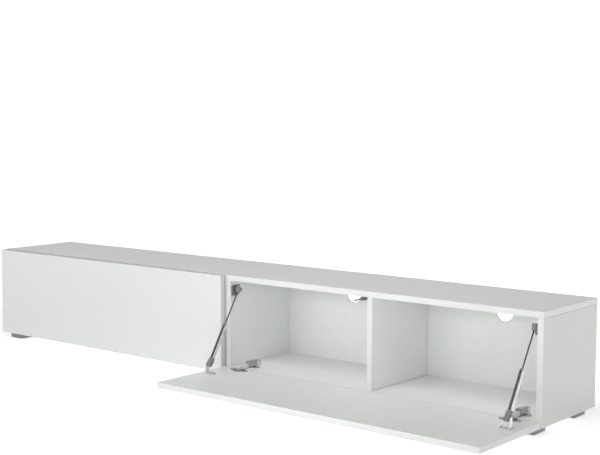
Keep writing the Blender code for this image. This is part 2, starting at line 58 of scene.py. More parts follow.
FLAP_FACE = BOARD / 2
CUP_RADIUS = 0.0175
CUP_DEPTH = 0.0125
CUP_CENTRE = 0.0125
PIN_RADIUS = 0.0014
TUBE_RADIUS = 0.0065
ROD_RADIUS = 0.002
BALL_RADIUS = 0.004
ROD_SOCKET_LENGTH = 0.009
TUBE_SOCKET_LENGTH = 0.015
SLEEVE_RADIUS = 0.0078
STUD_REACH = 0.0940023
STUD_HEIGHT = 0.024
BRACKET_SHEET = 0.002
SCREW_PITCH = 0.032
SCREW_HOLE = 0.0022
STRUT_FROM_PANEL = 0.016
SOCKET_RADIUS = 0.0062

# Creases sharper than this are drawn sharp
SHARP_ANGLE = math.radians(38)
# How far a screw head's middle stands off the sheet under it
HEAD_LIFT = 0.0005
# Round seat of a moulded end over its ball
SEAT_RADIUS = 0.0046
# Depths of a board's outer skin, its edge strip and the glue line beside that
SKIN = (0.0003, 0.0006)
EDGE_STRIP = 0.0011
GLUE_LINE = 0.0014

JOINTS = {joint["name"]: joint for joint in frame["joints"]}
UNITS = ("left_unit", "right_unit")
SIDES = ("left", "right")


# Shader maths


class Wire:
    """A socket in a material, with the arithmetic that shader maths needs."""

    def __init__(self, paint, socket):
        self.paint = paint
        self.socket = socket

    def _math(self, operation, *values):
        return self.paint.node("ShaderNodeMath", {"operation": operation}, *values)

    def __add__(self, other):
        return self._math("ADD", self, other)

    __radd__ = __add__

    def __sub__(self, other):
        return self._math("SUBTRACT", self, other)

    def __rsub__(self, other):
        return self._math("SUBTRACT", other, self)

    def __mul__(self, other):
        return self._math("MULTIPLY", self, other)

    __rmul__ = __mul__

    def absolute(self):
        return self._math("ABSOLUTE", self)

    def higher_of(self, other):
        return self._math("MAXIMUM", self, other)


class Shading:
    """A node tree whose nodes are added one call at a time."""

    def __init__(self, tree):
        self.tree = tree

    def node(self, kind, settings, *values, output=0, **named):
        made = self.tree.nodes.new(kind)
        for key, value in settings.items():
            setattr(made, key, value)
        pairs = list(enumerate(values)) + [(key.replace("_", " "), v) for key, v in named.items()]
        for key, value in pairs:
            if isinstance(value, Wire):
                self.tree.links.new(value.socket, made.inputs[key])
            else:
                made.inputs[key].default_value = value
        return Wire(self, made.outputs[output])

    def parts(self, vector):
        return [self.node("ShaderNodeSeparateXYZ", {}, vector, output=i) for i in range(3)]

    def fade(self, value, low, high, to_low=0.0, to_high=1.0):
        return self.node(
            "ShaderNodeMapRange",
            {"interpolation_type": "SMOOTHSTEP"},
            value,
            low,
            high,
            to_low,
            to_high,
        )


class Paint(Shading):
    """A new material on the usual surface shader."""

    def __init__(self, name, colour, roughness, metallic=0.0):
        self.material = bpy.data.materials.new(name)
        self.material.use_nodes = True
        super().__init__(self.material.node_tree)
        self.shader = self.tree.nodes["Principled BSDF"]
        self.set("Base Color", (*colour, 1.0))
        self.set("Roughness", roughness)
        self.set("Metallic", metallic)
        self.material.diffuse_color = (*colour, 1.0)

    def set(self, socket, value):
        target = self.shader.inputs[socket]
        if isinstance(value, Wire):
            self.tree.links.new(value.socket, target)
        else:
            target.default_value = value

    def position(self):
        return self.node("ShaderNodeTexCoord", {}, output="Object")

    def noise(self, scale, detail=2.0, roughness=0.5, place=None):
        return self.node(
            "ShaderNodeTexNoise",
            {},
            Vector=place or self.position(),
            Scale=scale,
            Detail=detail,
            Roughness=roughness,
        )

    def stretched(self, factors):
        return self.node(
            "ShaderNodeVectorMath", {"operation": "MULTIPLY"}, self.position(), factors
        )

    def axis(self, index):
        return self.node("ShaderNodeSeparateXYZ", {}, self.position(), output=index)

    def blend(self, factor, first, second):
        made = self.tree.nodes.new("ShaderNodeMix")
        made.data_type = "RGBA"
        for socket, value in ((0, factor), (6, first), (7, second)):
            if isinstance(value, Wire):
                self.tree.links.new(value.socket, made.inputs[socket])
            else:
                made.inputs[socket].default_value = value if socket == 0 else (*value, 1.0)
        return Wire(self, made.outputs[2])

    def tones(self, pattern, low, high, first, second):
        """Base colour between two tones, by a pattern."""
        self.set("Base Color", self.blend(self.fade(pattern, low, high), first, second))

    def bump(self, height, distance, strength=1.0):
        normal = self.node(
            "ShaderNodeBump", {}, Strength=strength, Distance=distance, Height=height
        )
        self.set("Normal", normal)


def thin_axis(low, high):
    """Index of the axis along which a board is thinnest."""
    span = [b - a for a, b in zip(low, high)]
    return span.index(min(span))


def near_edge(paint, low, high, width):
    """Nearness to the outline of a flat board: 1 inside the edge strip, 0 on its faces."""
    span = [b - a for a, b in zip(low, high)]
    thin = thin_axis(low, high)
    mask = None
    for index in range(3):
        if index == thin:
            continue
        middle = (low[index] + high[index]) / 2
        from_edge = span[index] / 2 - (paint.axis(index) - middle).absolute()
        strip = paint.fade(from_edge, width * 0.75, width, 1.0, 0.0)
        mask = strip if mask is None else mask.higher_of(strip)
    return mask


WHITE = (0.88, 0.888, 0.881)
# The edge strip is painted darker than the faces, as painted shade on the edges.
SHADED_STRIP_TONE = (0.74, 0.747, 0.741)
GLUE_TONE = (0.62, 0.61, 0.59)
# Boards whose outer face is painted a little greyer than the inner one as painted shade, with the
# side that is outward
SHADED_OUTER_FACES = {
    "flap": ("low", (0.733, 0.746, 0.740)),
    "end_left": ("low", (0.662, 0.662, 0.650)),
    "end_right": ("high", (0.662, 0.662, 0.650)),
    "top": ("high", (0.735, 0.735, 0.735)),
}


def white_board(node):
    """Melamine-faced board: faint mottle, fine orange peel and a glued edge strip."""
    low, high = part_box(node)
    paint = Paint(node + "_melamine", WHITE, 0.4)
    mottle = paint.noise(14.0, 4.0, 0.6)
    speck = paint.noise(420.0, 2.0, 0.55)
    grain = mottle * 0.6 + speck * 0.4
    face = paint.blend(paint.fade(grain, 0.3, 0.7), (0.888, 0.905, 0.888), (0.905, 0.921, 0.905))
    # Painted shade: the outer face is a little greyer than the inner one.
    outward, tone = SHADED_OUTER_FACES.get(node.split("_unit_")[1], (None, None))
    if outward:
        thin = thin_axis(low, high)
        across = paint.axis(thin)
        depth = across - low[thin] if outward == "low" else high[thin] - across
        face = paint.blend(paint.fade(depth, *SKIN, 1.0, 0.0), face, tone)
    strip = near_edge(paint, low, high, EDGE_STRIP)
    glue = near_edge(paint, low, high, GLUE_LINE) - strip
    # Painted shade: the edge strip is darker than the faces.
    edged = paint.blend(strip, face, SHADED_STRIP_TONE)
    paint.set("Base Color", paint.blend(glue.higher_of(0.0) * 0.5, edged, GLUE_TONE))
    paint.set("Roughness", 0.24 + speck * 0.05 + strip * 0.12)
    paint.set("Specular IOR Level", 0.34)
    paint.bump(speck * 0.7 + paint.noise(1500.0, 1.0) * 0.3, 0.00004, 0.15)
    return paint.material


def back_board(node):
    """Thin fibreboard: white paint on the inner face, raw brown fibre elsewhere."""
    low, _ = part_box(node)
    paint = Paint(node + "_fibreboard", WHITE, 0.5)
    fibre = paint.noise(900.0, 3.0, 0.7)
    cloud = paint.noise(30.0, 3.0, 0.6)
    raw = paint.blend(
        paint.fade(fibre * 0.7 + cloud * 0.3, 0.3, 0.7), (0.36, 0.25, 0.155), (0.52, 0.39, 0.26)
    )
    inner = paint.fade(paint.axis(1), low.y + SKIN[0], low.y + SKIN[1], 1.0, 0.0)
    lacquer = paint.blend(
        paint.fade(cloud, 0.35, 0.65), (0.903, 0.919, 0.901), (0.917, 0.932, 0.915)
    )
    paint.set("Base Color", paint.blend(inner, raw, lacquer))
    paint.set("Roughness", 0.78 - inner * 0.33 + fibre * 0.06)
    paint.bump(fibre, 0.0002, 0.4)
    return paint.material


def brushed_aluminium():
    """Fine level lines round the foot, with a soft satin shine."""
    paint = Paint("brushed_aluminium", (0.45, 0.45, 0.455), 0.3, 1.0)
    lines = paint.noise(260.0, 3.0, 0.65, paint.stretched((1.0, 1.0, 26.0)))
    broad = paint.noise(40.0, 2.0, 0.5)
    paint.tones(lines, 0.3, 0.7, (0.17, 0.17, 0.175), (0.27, 0.27, 0.275))
    paint.set("Roughness", 0.2 + lines * 0.12 + broad * 0.06)
    paint.bump(lines, 0.00006, 0.5)
    return paint.material


def nickel_plate():
    """Nickel plated pressed steel with a fine grain and faint stains."""
    paint = Paint("nickel_plate", (0.62, 0.61, 0.58), 0.24, 1.0)
    stain = paint.noise(160.0, 3.0, 0.6)
    grain = paint.noise(1800.0, 2.0, 0.5)
    paint.tones(stain, 0.35, 0.7, (0.40, 0.40, 0.395), (0.58, 0.58, 0.575))
    paint.set("Roughness", 0.12 + stain * 0.12 + grain * 0.05)
    paint.bump(grain, 0.00003, 0.4)
    return paint.material


def zinc_plate():
    """Bright zinc plated sheet: cool, with a cloudy passivated film."""
    paint = Paint("zinc_plate", (0.7, 0.7, 0.71), 0.3, 1.0)
    cloud = paint.noise(220.0, 3.0, 0.6)
    paint.tones(cloud, 0.3, 0.7, (0.80, 0.80, 0.805), (0.90, 0.90, 0.895))
    paint.set("Roughness", 0.2 + cloud * 0.2)
    paint.bump(paint.noise(1400.0, 2.0), 0.00003, 0.4)
    return paint.material


def polished_chrome(name, dark, light, streak=(1.0, 1.0, 0.04)):
    """Polished tube and rod, with hairline wear drawn out along Z."""
    paint = Paint(name, light, 0.1, 1.0)
    wear = paint.noise(1300.0, 2.0, 0.6, paint.stretched(streak))
    film = paint.noise(90.0, 2.0, 0.5)
    paint.tones(film, 0.3, 0.75, dark, light)
    paint.set("Roughness", 0.06 + wear * 0.09 + film * 0.03)
    return paint.material


def dark_coat():
    """Dark grey coated bracket with a fine powder texture."""
    paint = Paint("dark_coat", (0.10, 0.10, 0.105), 0.42, 0.25)
    powder = paint.noise(1500.0, 2.0, 0.6)
    cloud = paint.noise(120.0, 2.0, 0.5)
    paint.tones(powder, 0.35, 0.7, (0.12, 0.12, 0.125), (0.20, 0.20, 0.205))
    paint.set("Roughness", 0.34 + cloud * 0.14)
    paint.bump(powder, 0.00006, 0.6)
    return paint.material


def moulded_plastic(name, dark, light, roughness):
    """Moulded plastic with a fine spark-eroded grain."""
    paint = Paint(name, dark, roughness)
    grain = paint.noise(1900.0, 2.0, 0.6)
    flow = paint.noise(70.0, 2.0, 0.5)
    paint.tones(grain * 0.6 + flow * 0.4, 0.3, 0.7, dark, light)
    paint.set("Roughness", roughness - 0.06 + grain * 0.14)
    paint.bump(grain, 0.00005, 0.6)
    return paint.material


ALUMINIUM = brushed_aluminium()
NICKEL = nickel_plate()
ZINC = zinc_plate()
CHROME = polished_chrome("polished_chrome", (0.68, 0.68, 0.69), (0.80, 0.80, 0.81))
ROD_STEEL = polished_chrome("ground_rod", (0.20, 0.20, 0.205), (0.28, 0.28, 0.285))
DARK_COAT = dark_coat()
DARK_PLASTIC = moulded_plastic("dark_plastic", (0.045, 0.045, 0.048), (0.08, 0.08, 0.084), 0.46)
GREY_PLASTIC = moulded_plastic("grey_plastic", (0.20, 0.20, 0.203), (0.28, 0.28, 0.283), 0.42)


# Making pieces


def evaluated(obj):
    """A new mesh of an object as its modifiers leave it."""
    bpy.context.view_layer.update()
    graph = bpy.context.evaluated_depsgraph_get()
    return bpy.data.meshes.new_from_object(obj.evaluated_get(graph))


def put(obj, material, body, slot, *nodes):
    """Settle a piece at the origin with its place in its mesh, and tie it to a body."""
    mesh = evaluated(obj)
    mesh.transform(obj.matrix_world)
    if obj.matrix_world.determinant() < 0:
        mesh.flip_normals()
    name = obj.name
    discard(obj)
    piece = bpy.data.objects.new(name, mesh)
    bpy.context.scene.collection.objects.link(piece)
    mesh.materials.clear()
    mesh.materials.append(material)
    mesh.name = name
    mesh.polygons.foreach_set("use_smooth", [True] * len(mesh.polygons))
    mesh.set_sharp_from_angle(angle=SHARP_ANGLE)
    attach(piece, body)
    if nodes:
        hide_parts(*nodes)
    return piece


def object_from(bm, name):
    mesh = bpy.data.meshes.new(name)
    bm.to_mesh(mesh)
    bm.free()
    obj = bpy.data.objects.new(name, mesh)
    bpy.context.scene.collection.objects.link(obj)
    return obj


def rounded(obj, width, segments=2, angle=35):
    modifier = obj.modifiers.new("rounded", "BEVEL")
    modifier.width = width
    modifier.segments = segments
    modifier.limit_method = "ANGLE"
    modifier.angle_limit = math.radians(angle)
    return obj


def block(name, size):
    """A box of the given size, centred on the origin."""
    bm = bmesh.new()
    bmesh.ops.create_cube(bm, size=1.0)
    bmesh.ops.scale(bm, vec=size, verts=bm.verts)
    return object_from(bm, name)


def circle(steps):
    angles = [2 * math.pi * i / steps for i in range(steps)]
    return [(math.cos(a), math.sin(a)) for a in angles]


def lathe(name, profile, steps=48):
    """Radius and height points from the axis, out and back to it, turned about Z."""
    bm = bmesh.new()
    rings = []
    for radius, height in profile:
        if radius < 1e-7:
            points = [(0, 0, height)]
        else:
            points = [(radius * c, radius * s, height) for c, s in circle(steps)]
        rings.append([bm.verts.new(point) for point in points])
    for first, second in zip(rings, rings[1:]):
        for i in range(steps):
            j = (i + 1) % steps
            corners = [first[i % len(first)], first[j % len(first)]]
            corners += [second[j % len(second)], second[i % len(second)]]
            unique = list(dict.fromkeys(corners))
            if len(unique) > 2:
                bm.faces.new(unique)
    if len(rings[0]) > 1:
        for i in range(steps):
            j = (i + 1) % steps
            bm.faces.new([rings[-1][i], rings[-1][j], rings[0][j], rings[0][i]])
    bmesh.ops.recalc_face_normals(bm, faces=bm.faces)
    return object_from(bm, name)


def plate(name, outline, thickness, holes=(), edge=0.0):
    """A flat sheet in the X-Y plane from Z 0 up, with round holes (x, y, radius)."""
    curve = bpy.data.curves.new(name, "CURVE")
    curve.dimensions = "2D"
    curve.fill_mode = "BOTH"
    curve.extrude = thickness / 2 - edge
    curve.bevel_depth = edge
    curve.bevel_resolution = 1
    curve.offset = -edge
    rounds = [[(x + radius * c, y + radius * s) for c, s in circle(24)] for x, y, radius in holes]
    for loop in (outline, *rounds):
        spline = curve.splines.new("POLY")
        spline.points.add(len(loop) - 1)
        for point, (x, y) in zip(spline.points, loop):
            point.co = (x, y, 0.0, 1.0)
        spline.use_cyclic_u = True
    obj = bpy.data.objects.new(name, curve)
    bpy.context.scene.collection.objects.link(obj)
    bm = bmesh.new()
    bm.from_mesh(evaluated(obj))
    bpy.data.objects.remove(obj, do_unlink=True)
    bpy.data.curves.remove(curve)
    bmesh.ops.remove_doubles(bm, verts=bm.verts, dist=1e-6)
    bmesh.ops.recalc_face_normals(bm, faces=bm.faces)
    bmesh.ops.translate(bm, vec=(0, 0, thickness / 2), verts=bm.verts)
    return object_from(bm, name)


def arc(centre, radius, start, end, count):
    angles = [math.radians(start + (end - start) * i / (count - 1)) for i in range(count)]
    return [(centre[0] + radius * math.cos(a), centre[1] + radius * math.sin(a)) for a in angles]


def slot_outline(length, width, count=12):
    """A strip with round ends along X."""
    half = length / 2 - width / 2
    return arc((half, 0), width / 2, -90, 90, count) + arc((-half, 0), width / 2, 90, 270, count)


def skin(name, rows):
    """An open sheet through rows of points."""
    bm = bmesh.new()
    rows = [[bm.verts.new(point) for point in row] for row in rows]
    for first, second in zip(rows, rows[1:]):
        for i in range(len(first) - 1):
            bm.faces.new((first[i], first[i + 1], second[i + 1], second[i]))
    bmesh.ops.recalc_face_normals(bm, faces=bm.faces)
    return object_from(bm, name)


def thicken(obj, thickness, offset):
    """Give an open sheet its wall: offset 0 on both sides of it, 1 or -1 on one."""
    wall = obj.modifiers.new("sheet", "SOLIDIFY")
    wall.thickness = thickness
    wall.offset = offset
    return wall


def prism(name, outline, matrix, depth):
    """A cutter through both sides of its plane."""
    obj = plate(name, outline, depth)
    obj.matrix_world = matrix @ move(0, 0, -depth / 2)
    return obj


def settle(obj):
    """Bake a piece's modifiers into its mesh, in place."""
    mesh = evaluated(obj)
    name = obj.name
    place = obj.matrix_world.copy()
    discard(obj)
    settled = bpy.data.objects.new(name, mesh)
    bpy.context.scene.collection.objects.link(settled)
    settled.matrix_world = place
    return settled


def carved(obj, cutters):
    """Cut a piece by others, which are used up."""
    for cutter in cutters:
        hole = obj.modifiers.new(cutter.name, "BOOLEAN")
        hole.operation = "DIFFERENCE"
        hole.solver = "EXACT"
        hole.object = cutter
    settled = settle(obj)
    for cutter in cutters:
        discard(cutter)
    return settled


def discard(obj):
    mesh = obj.data
    bpy.data.objects.remove(obj, do_unlink=True)
    bpy.data.meshes.remove(mesh)


def placed(obj, matrix):
    obj.matrix_world = matrix
    return obj


def turn(axis, degrees):
    return Matrix.Rotation(math.radians(degrees), 4, axis)


def move(x, y, z):
    return Matrix.Translation((x, y, z))


def on_edge(matrix):
    """Stand a sheet up: its X runs back, its Y up and its thickness across."""
    return matrix @ turn("Z", 90) @ turn("X", 90)


# Screws: one tree makes a head with its cross, and sets one at each point, facing its vector

# Radius of a head's top face as a share of the one at its foot
HEAD_TAPER = 0.82


def screw_tree():
    """Cross-head screws on points, with named sizes."""
    tree = bpy.data.node_groups.new("cross_screws", "GeometryNodeTree")
    face = tree.interface
    face.new_socket("Points", in_out="INPUT", socket_type="NodeSocketGeometry")
    for label, value in (
        ("Head radius", 0.0035),
        ("Head height", 0.0014),
        ("Cross width", 0.0010),
        ("Cross length", 0.0042),
        ("Cross depth", 0.0011),
    ):
        face.new_socket(label, in_out="INPUT", socket_type="NodeSocketFloat").default_value = value
    face.new_socket("Finish", in_out="INPUT", socket_type="NodeSocketMaterial")
    face.new_socket("Screws", in_out="OUTPUT", socket_type="NodeSocketGeometry")
    nodes = tree.nodes

    def feed(socket, value):
        if isinstance(value, bpy.types.NodeSocket):
            tree.links.new(value, socket)
        else:
            socket.default_value = value

    def add(kind, settings=None, **links):
        made = nodes.new(kind)
        for key, value in (settings or {}).items():
            setattr(made, key, value)
        for key, value in links.items():
            feed(made.inputs[key.replace("_", " ")], value)
        return made

    def maths(operation, first, second):
        made = nodes.new("ShaderNodeMath")
        made.operation = operation
        feed(made.inputs[0], first)
        feed(made.inputs[1], second)
        return made.outputs[0]

    given = nodes.new("NodeGroupInput").outputs
    radius = given["Head radius"]
    height = given["Head height"]
    rim = add("GeometryNodeMeshCone", Vertices=20, Radius_Bottom=radius, Depth=height)
    tree.links.new(maths("MULTIPLY", radius, HEAD_TAPER), rim.inputs["Radius Top"])
    rim.inputs["Side Segments"].default_value = 1
    head = rim.outputs["Mesh"]
    for length, width in (("Cross length", "Cross width"), ("Cross width", "Cross length")):
        size = add("ShaderNodeCombineXYZ", X=given[length], Y=given[width], Z=height)
        bar = add("GeometryNodeMeshCube", Size=size.outputs[0])
        sunk = maths("SUBTRACT", maths("MULTIPLY", height, 1.5), given["Cross depth"])
        lift = add("ShaderNodeCombineXYZ", Z=sunk)
        raised = add(
            "GeometryNodeTransform", Geometry=bar.outputs["Mesh"], Translation=lift.outputs[0]
        )
        cut = nodes.new("GeometryNodeMeshBoolean")
        cut.operation = "DIFFERENCE"
        tree.links.new(head, cut.inputs["Mesh 1"])
        tree.links.new(raised.outputs[0], cut.inputs["Mesh 2"])
        head = cut.outputs["Mesh"]
    facing = add("GeometryNodeInputNamedAttribute", {"data_type": "FLOAT_VECTOR"}, Name="facing")
    aim = add("FunctionNodeAlignRotationToVector", {"axis": "Z"})
    tree.links.new(facing.outputs["Attribute"], aim.inputs["Vector"])
    spread = add("GeometryNodeInstanceOnPoints", Points=given["Points"])
    tree.links.new(head, spread.inputs["Instance"])
    tree.links.new(aim.outputs[0], spread.inputs["Rotation"])
    solid = add("GeometryNodeRealizeInstances", Geometry=spread.outputs[0])
    finish = add("GeometryNodeSetMaterial", Geometry=solid.outputs[0])
    tree.links.new(given["Finish"], finish.inputs["Material"])
    tree.links.new(finish.outputs[0], nodes.new("NodeGroupOutput").inputs[0])
    return tree


SCREWS = screw_tree()


def screws(name, places, body):
    """Screw heads at (point, outward vector) pairs, one mesh for a body."""
    mesh = bpy.data.meshes.new(name)
    mesh.from_pydata([tuple(point) for point, _ in places], [], [])
    facing = mesh.attributes.new("facing", "FLOAT_VECTOR", "POINT")
    facing.data.foreach_set("vector", [c for _, vector in places for c in vector])
    obj = bpy.data.objects.new(name, mesh)
    bpy.context.scene.collection.objects.link(obj)
    modifier = obj.modifiers.new("heads", "NODES")
    modifier.node_group = SCREWS
    inputs = {
        item.name: item.identifier for item in SCREWS.interface.items_tree if item.in_out == "INPUT"
    }
    modifier[inputs["Finish"]] = ZINC
    return put(obj, ZINC, body, "bright_steel")


# Boards and feet

for unit in UNITS:
    for piece in ("top", "bottom", "end_left", "end_right", "divider", "flap", "back"):
        node = f"{unit}_{piece}"
        materials = frame["nodes"][node].data.materials
        materials.clear()
        materials.append(back_board(node) if piece == "back" else white_board(node))


def foot(node):
    """A square metal foot: brushed shell with eased edges over a recessed plastic glide."""
    low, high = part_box(node)
    middle = (low + high) / 2
    width = high.x - low.x
    depth = high.y - low.y
    shell_floor = low.z + 0.0012
    shell = block(node + "_shell", (width, depth, high.z - shell_floor))
    placed(rounded(shell, 0.0009, 3), move(middle.x, middle.y, (high.z + shell_floor) / 2))
    put(shell, ALUMINIUM, "carcass", "foot_metal", node)
    inset = glide = 0.004
    pad = block(node + "_glide", (width - inset, depth - inset, glide))
    placed(rounded(pad, 0.0008, 2), move(middle.x, middle.y, low.z + glide / 2))
    put(pad, DARK_PLASTIC, "carcass", "foot_metal")


for unit in UNITS:
    for depth in ("front", "rear"):
        for side in SIDES:
            foot(f"{unit}_foot_{depth}_{side}")


# Fittings

# Angles, in radians, of the points along a pressed corner
CORNER_STEPS = (0.4, 0.8, 1.2)

# Hinge cup: its pan, the flange with two ears, and the cheeks that hold the pin
PAN_WALL = 0.001
RIM_HEIGHT = 0.0012
FLANGE_SHEET = 0.0011
FLANGE_REACH = 0.030
FLANGE_WING = 0.0085
EAR_INSET = 0.0062
CHEEK_SHEET = 0.0016
CHEEK_APART = 0.0062
CHEEK_OUTLINE = [
    (-0.0035, -0.0022), (0.0012, -0.0022), (0.0028, -0.0006), (0.0028, 0.0012),
    (0.0012, 0.0028), (-0.0035, 0.0046),
]
PIN_HALF = 0.0078

# Hinge arm: half width, height of the crown and depth of the sides, at stations back from its axis
ARM_STATIONS = (
    (0.0262, 0.0076, 0.0250, 0.0110),
    (0.0285, 0.0080, 0.0264, 0.0110),
    (0.0350, 0.0080, 0.0270, 0.0110),
    (0.0480, 0.0080, 0.0267, 0.0110),
    (0.0620, 0.0080, 0.0262, 0.0110),
    (0.0715, 0.0080, 0.0254, 0.0112),
    (0.0745, 0.0078, 0.0238, 0.0130),
    (0.0758, 0.0074, 0.0205, 0.0150),
)
ARM_SHEET = 0.0014
ARM_BEND = 0.0022

# What rides in the arm: link with its leg and neck, dark mouth for painted shade, bosses, rivets,
# cam, adjuster and slide
LINK_HALF = 0.0018
LINK_GAP = 0.0007
LEG_WIDTH = 0.0078
NECK_WIDTH = 0.0112
MOUTH_SHADE_WIDTH = 0.0130
# The mouth is a dark block in the channel's front end, standing for the shade inside it.
MOUTH_SHADE_OUTLINE = [
    (0.0270, 0.0114), (0.0320, 0.0114), (0.0320, 0.0248), (0.0284, 0.0246), (0.0270, 0.0236),
]
BOSS_PROFILE = [
    (0, 0.0012), (0.0016, 0.0012), (0.0024, 0.0007), (0.0030, 0.0002), (0.0048, 0.0002),
    (0.0054, 0.0011), (0.0064, 0.0012), (0.0070, 0.0006), (0.0070, -0.0005), (0, -0.0005),
]
BOSS_PLACE = (0.0080, 0.0652, 0.0184)
KNUCKLE_HALF = 0.0037
KNUCKLE_RADIUS = 0.0028
# Name, place back and up, and half length
RIVETS = (("front", 0.0225, 0.0155, 0.0063), ("rear", 0.0300, 0.0150, 0.0086))
RIVET_RADIUS = 0.0017
CAM_PROFILE = [
    (0, 0), (0.0040, 0), (0.0040, 0.0034), (0.0036, 0.0040), (0.0030, 0.0040),
    (0.0027, 0.0034), (0.0010, 0.0034), (0.0010, 0.0024), (0, 0.0024),
]
CAM_PLACE = (0, 0.0605, 0.0226)
ADJUSTER_PLACE = (0, 0.0385, 0.0240)
SLIDE_PLACE = (0, 0.0480, 0.0216)

# Mounting plate of the hinge: its screws' row behind the floor panel's front edge, the gap
# between that edge and the flap, wings and saddle
PLATE_ROW = 0.037
FLAP_GAP = 0.004
PLATE_SHEET = 0.002
WING_RADIUS = 0.0078
SADDLE_WIDTH = 0.0118


def flap_frame(unit):
    """The axis of a flap, and that place turned with the flap: reach is Z, its inner side +Y."""
    joint = JOINTS[unit + "_flap_hinge"]
    axis = move(0, joint["pos_m"][1], joint["pos_m"][2])
    opened = joint["range_deg"][0] < -1
    return axis, axis @ turn("X", 90 if opened else 0)


def cup_profile(inner, rim, top):
    """Half section of the drawn pan: inside floor, rounded corner, lip, and back under it."""
    floor = PAN_WALL - CUP_DEPTH
    bend = 0.0022
    corner = 0.003
    points = [(0, floor), (inner - bend, floor)]
    points += [
        (inner - bend + bend * math.sin(a), floor + bend - bend * math.cos(a))
        for a in (*CORNER_STEPS, math.pi / 2)
    ]
    points += [(inner, top - 0.0005), (inner + 0.0002, top - 0.0001), (inner + 0.0006, top)]
    points += [(rim - 0.0004, top), (rim - 0.0001, top - 0.0002), (rim, top - 0.0005), (rim, FIT)]
    points += [(CUP_RADIUS, FIT), (CUP_RADIUS, corner - CUP_DEPTH)]
    points += [
        (CUP_RADIUS - corner + corner * math.cos(a), corner - CUP_DEPTH - corner * math.sin(a))
        for a in CORNER_STEPS
    ]
    return points + [(CUP_RADIUS - corner, -CUP_DEPTH), (0, -CUP_DEPTH)]


def flange_outline(rim):
    """Round the pan, with an ear on each side."""
    outline = []
    for sign, turned in ((1, 0), (-1, 180)):
        tip = (sign * (FLANGE_REACH - FLANGE_WING), 0)
        outline += arc(tip, FLANGE_WING, turned - 80, turned + 80, 13)
        outline += arc((0, 0), rim + 0.0002, turned + 50, turned + 130, 15)
    return outline


def cup(unit, name, x, leaf, flap_screws):
    """Drawn pan with its pressed flange, and the pin held between two cheeks."""
    body = unit + "_flap_body"
    rim = CUP_RADIUS + 0.0009
    inner = CUP_RADIUS - PAN_WALL
    top = FIT + RIM_HEIGHT
    seat = leaf @ move(x, FLAP_FACE, CUP_CENTRE) @ turn("X", -90)
    pan = lathe(name + "_pan", cup_profile(inner, rim, top), 64)
    put(placed(pan, seat), NICKEL, body, "nickel", name + "_cup")

    hole_at = FLANGE_REACH - EAR_INSET
    holes = [(0, 0, inner + 0.0004), (hole_at, 0, SCREW_HOLE), (-hole_at, 0, SCREW_HOLE)]
    flange = plate(name + "_flange", flange_outline(rim), FLANGE_SHEET, holes, 0.0003)
    put(placed(flange, seat @ move(0, 0, FIT)), NICKEL, body, "nickel")
    for sign in (-1, 1):
        point = seat @ Vector((sign * hole_at, 0, top + HEAD_LIFT))
        flap_screws.append((point, seat.to_3x3() @ Vector((0, 0, 1))))

    for sign, label in ((-1, "left"), (1, "right")):
        cheek = plate(f"{name}_cheek_{label}", CHEEK_OUTLINE, CHEEK_SHEET, edge=0.0002)
        spot = on_edge(leaf @ move(x + sign * CHEEK_APART - CHEEK_SHEET / 2, 0, 0))
        put(placed(cheek, spot), NICKEL, body, "nickel")
    shape = [(0, -PIN_HALF), (0.0011, -PIN_HALF), (PIN_RADIUS, -PIN_HALF + 0.0003)]
    shape += [(radius, -height) for radius, height in reversed(shape)]
    pin = lathe(name + "_pin", shape, 24)
    put(placed(pin, leaf @ move(x, 0, 0) @ turn("Y", 90)), ZINC, body, "nickel")


def arm_channel(name):
    """The arm's cranked channel, pressed from sheet, with its axis at the origin."""
    rows = []
    for y, half, crown, under in ARM_STATIONS:
        bend = min(ARM_BEND, half / 3, (crown - under) / 2)
        row = [(-half, under), (-half, crown - bend)]
        row += [
            (-half + bend - bend * math.cos(a), crown - bend + bend * math.sin(a))
            for a in CORNER_STEPS
        ]
        row += [(-half + bend, crown), (0, crown)]
        row += [(-across, height) for across, height in reversed(row[:-1])]
        rows.append([(across, y, height) for across, height in row])
    channel = skin(name, rows)
    middle = channel.data.polygons[len(channel.data.polygons) // 2]
    wall = thicken(channel, ARM_SHEET, -1.0 if middle.normal.z > 0 else 1.0)
    wall.use_even_offset = True
    return rounded(channel, 0.0003, 1, 40)


def link_outlines():
    """The link's leg, up from the pin, and its neck, over the flap's edge into the channel."""
    clear = FLAP_FACE + RIM_HEIGHT + FIT + LINK_GAP
    leg = [(-LINK_HALF, 0.0), (LINK_HALF, 0.0), (LINK_HALF, clear), (-LINK_HALF, clear + 0.0004)]
    neck = [(-LINK_HALF, clear - 0.0004), (0.0004, clear - 0.0004)]
    neck += [(0.0300, clear + 0.0006), (0.0300, 0.0232), (0.0262, 0.0230), (0.0200, 0.0206)]
    neck += [(0.0110, 0.0168), (0.0030, 0.0150), (0.0006, 0.0142), (-0.0010, 0.0128)]
    return leg, neck + [(-LINK_HALF, 0.0112)]


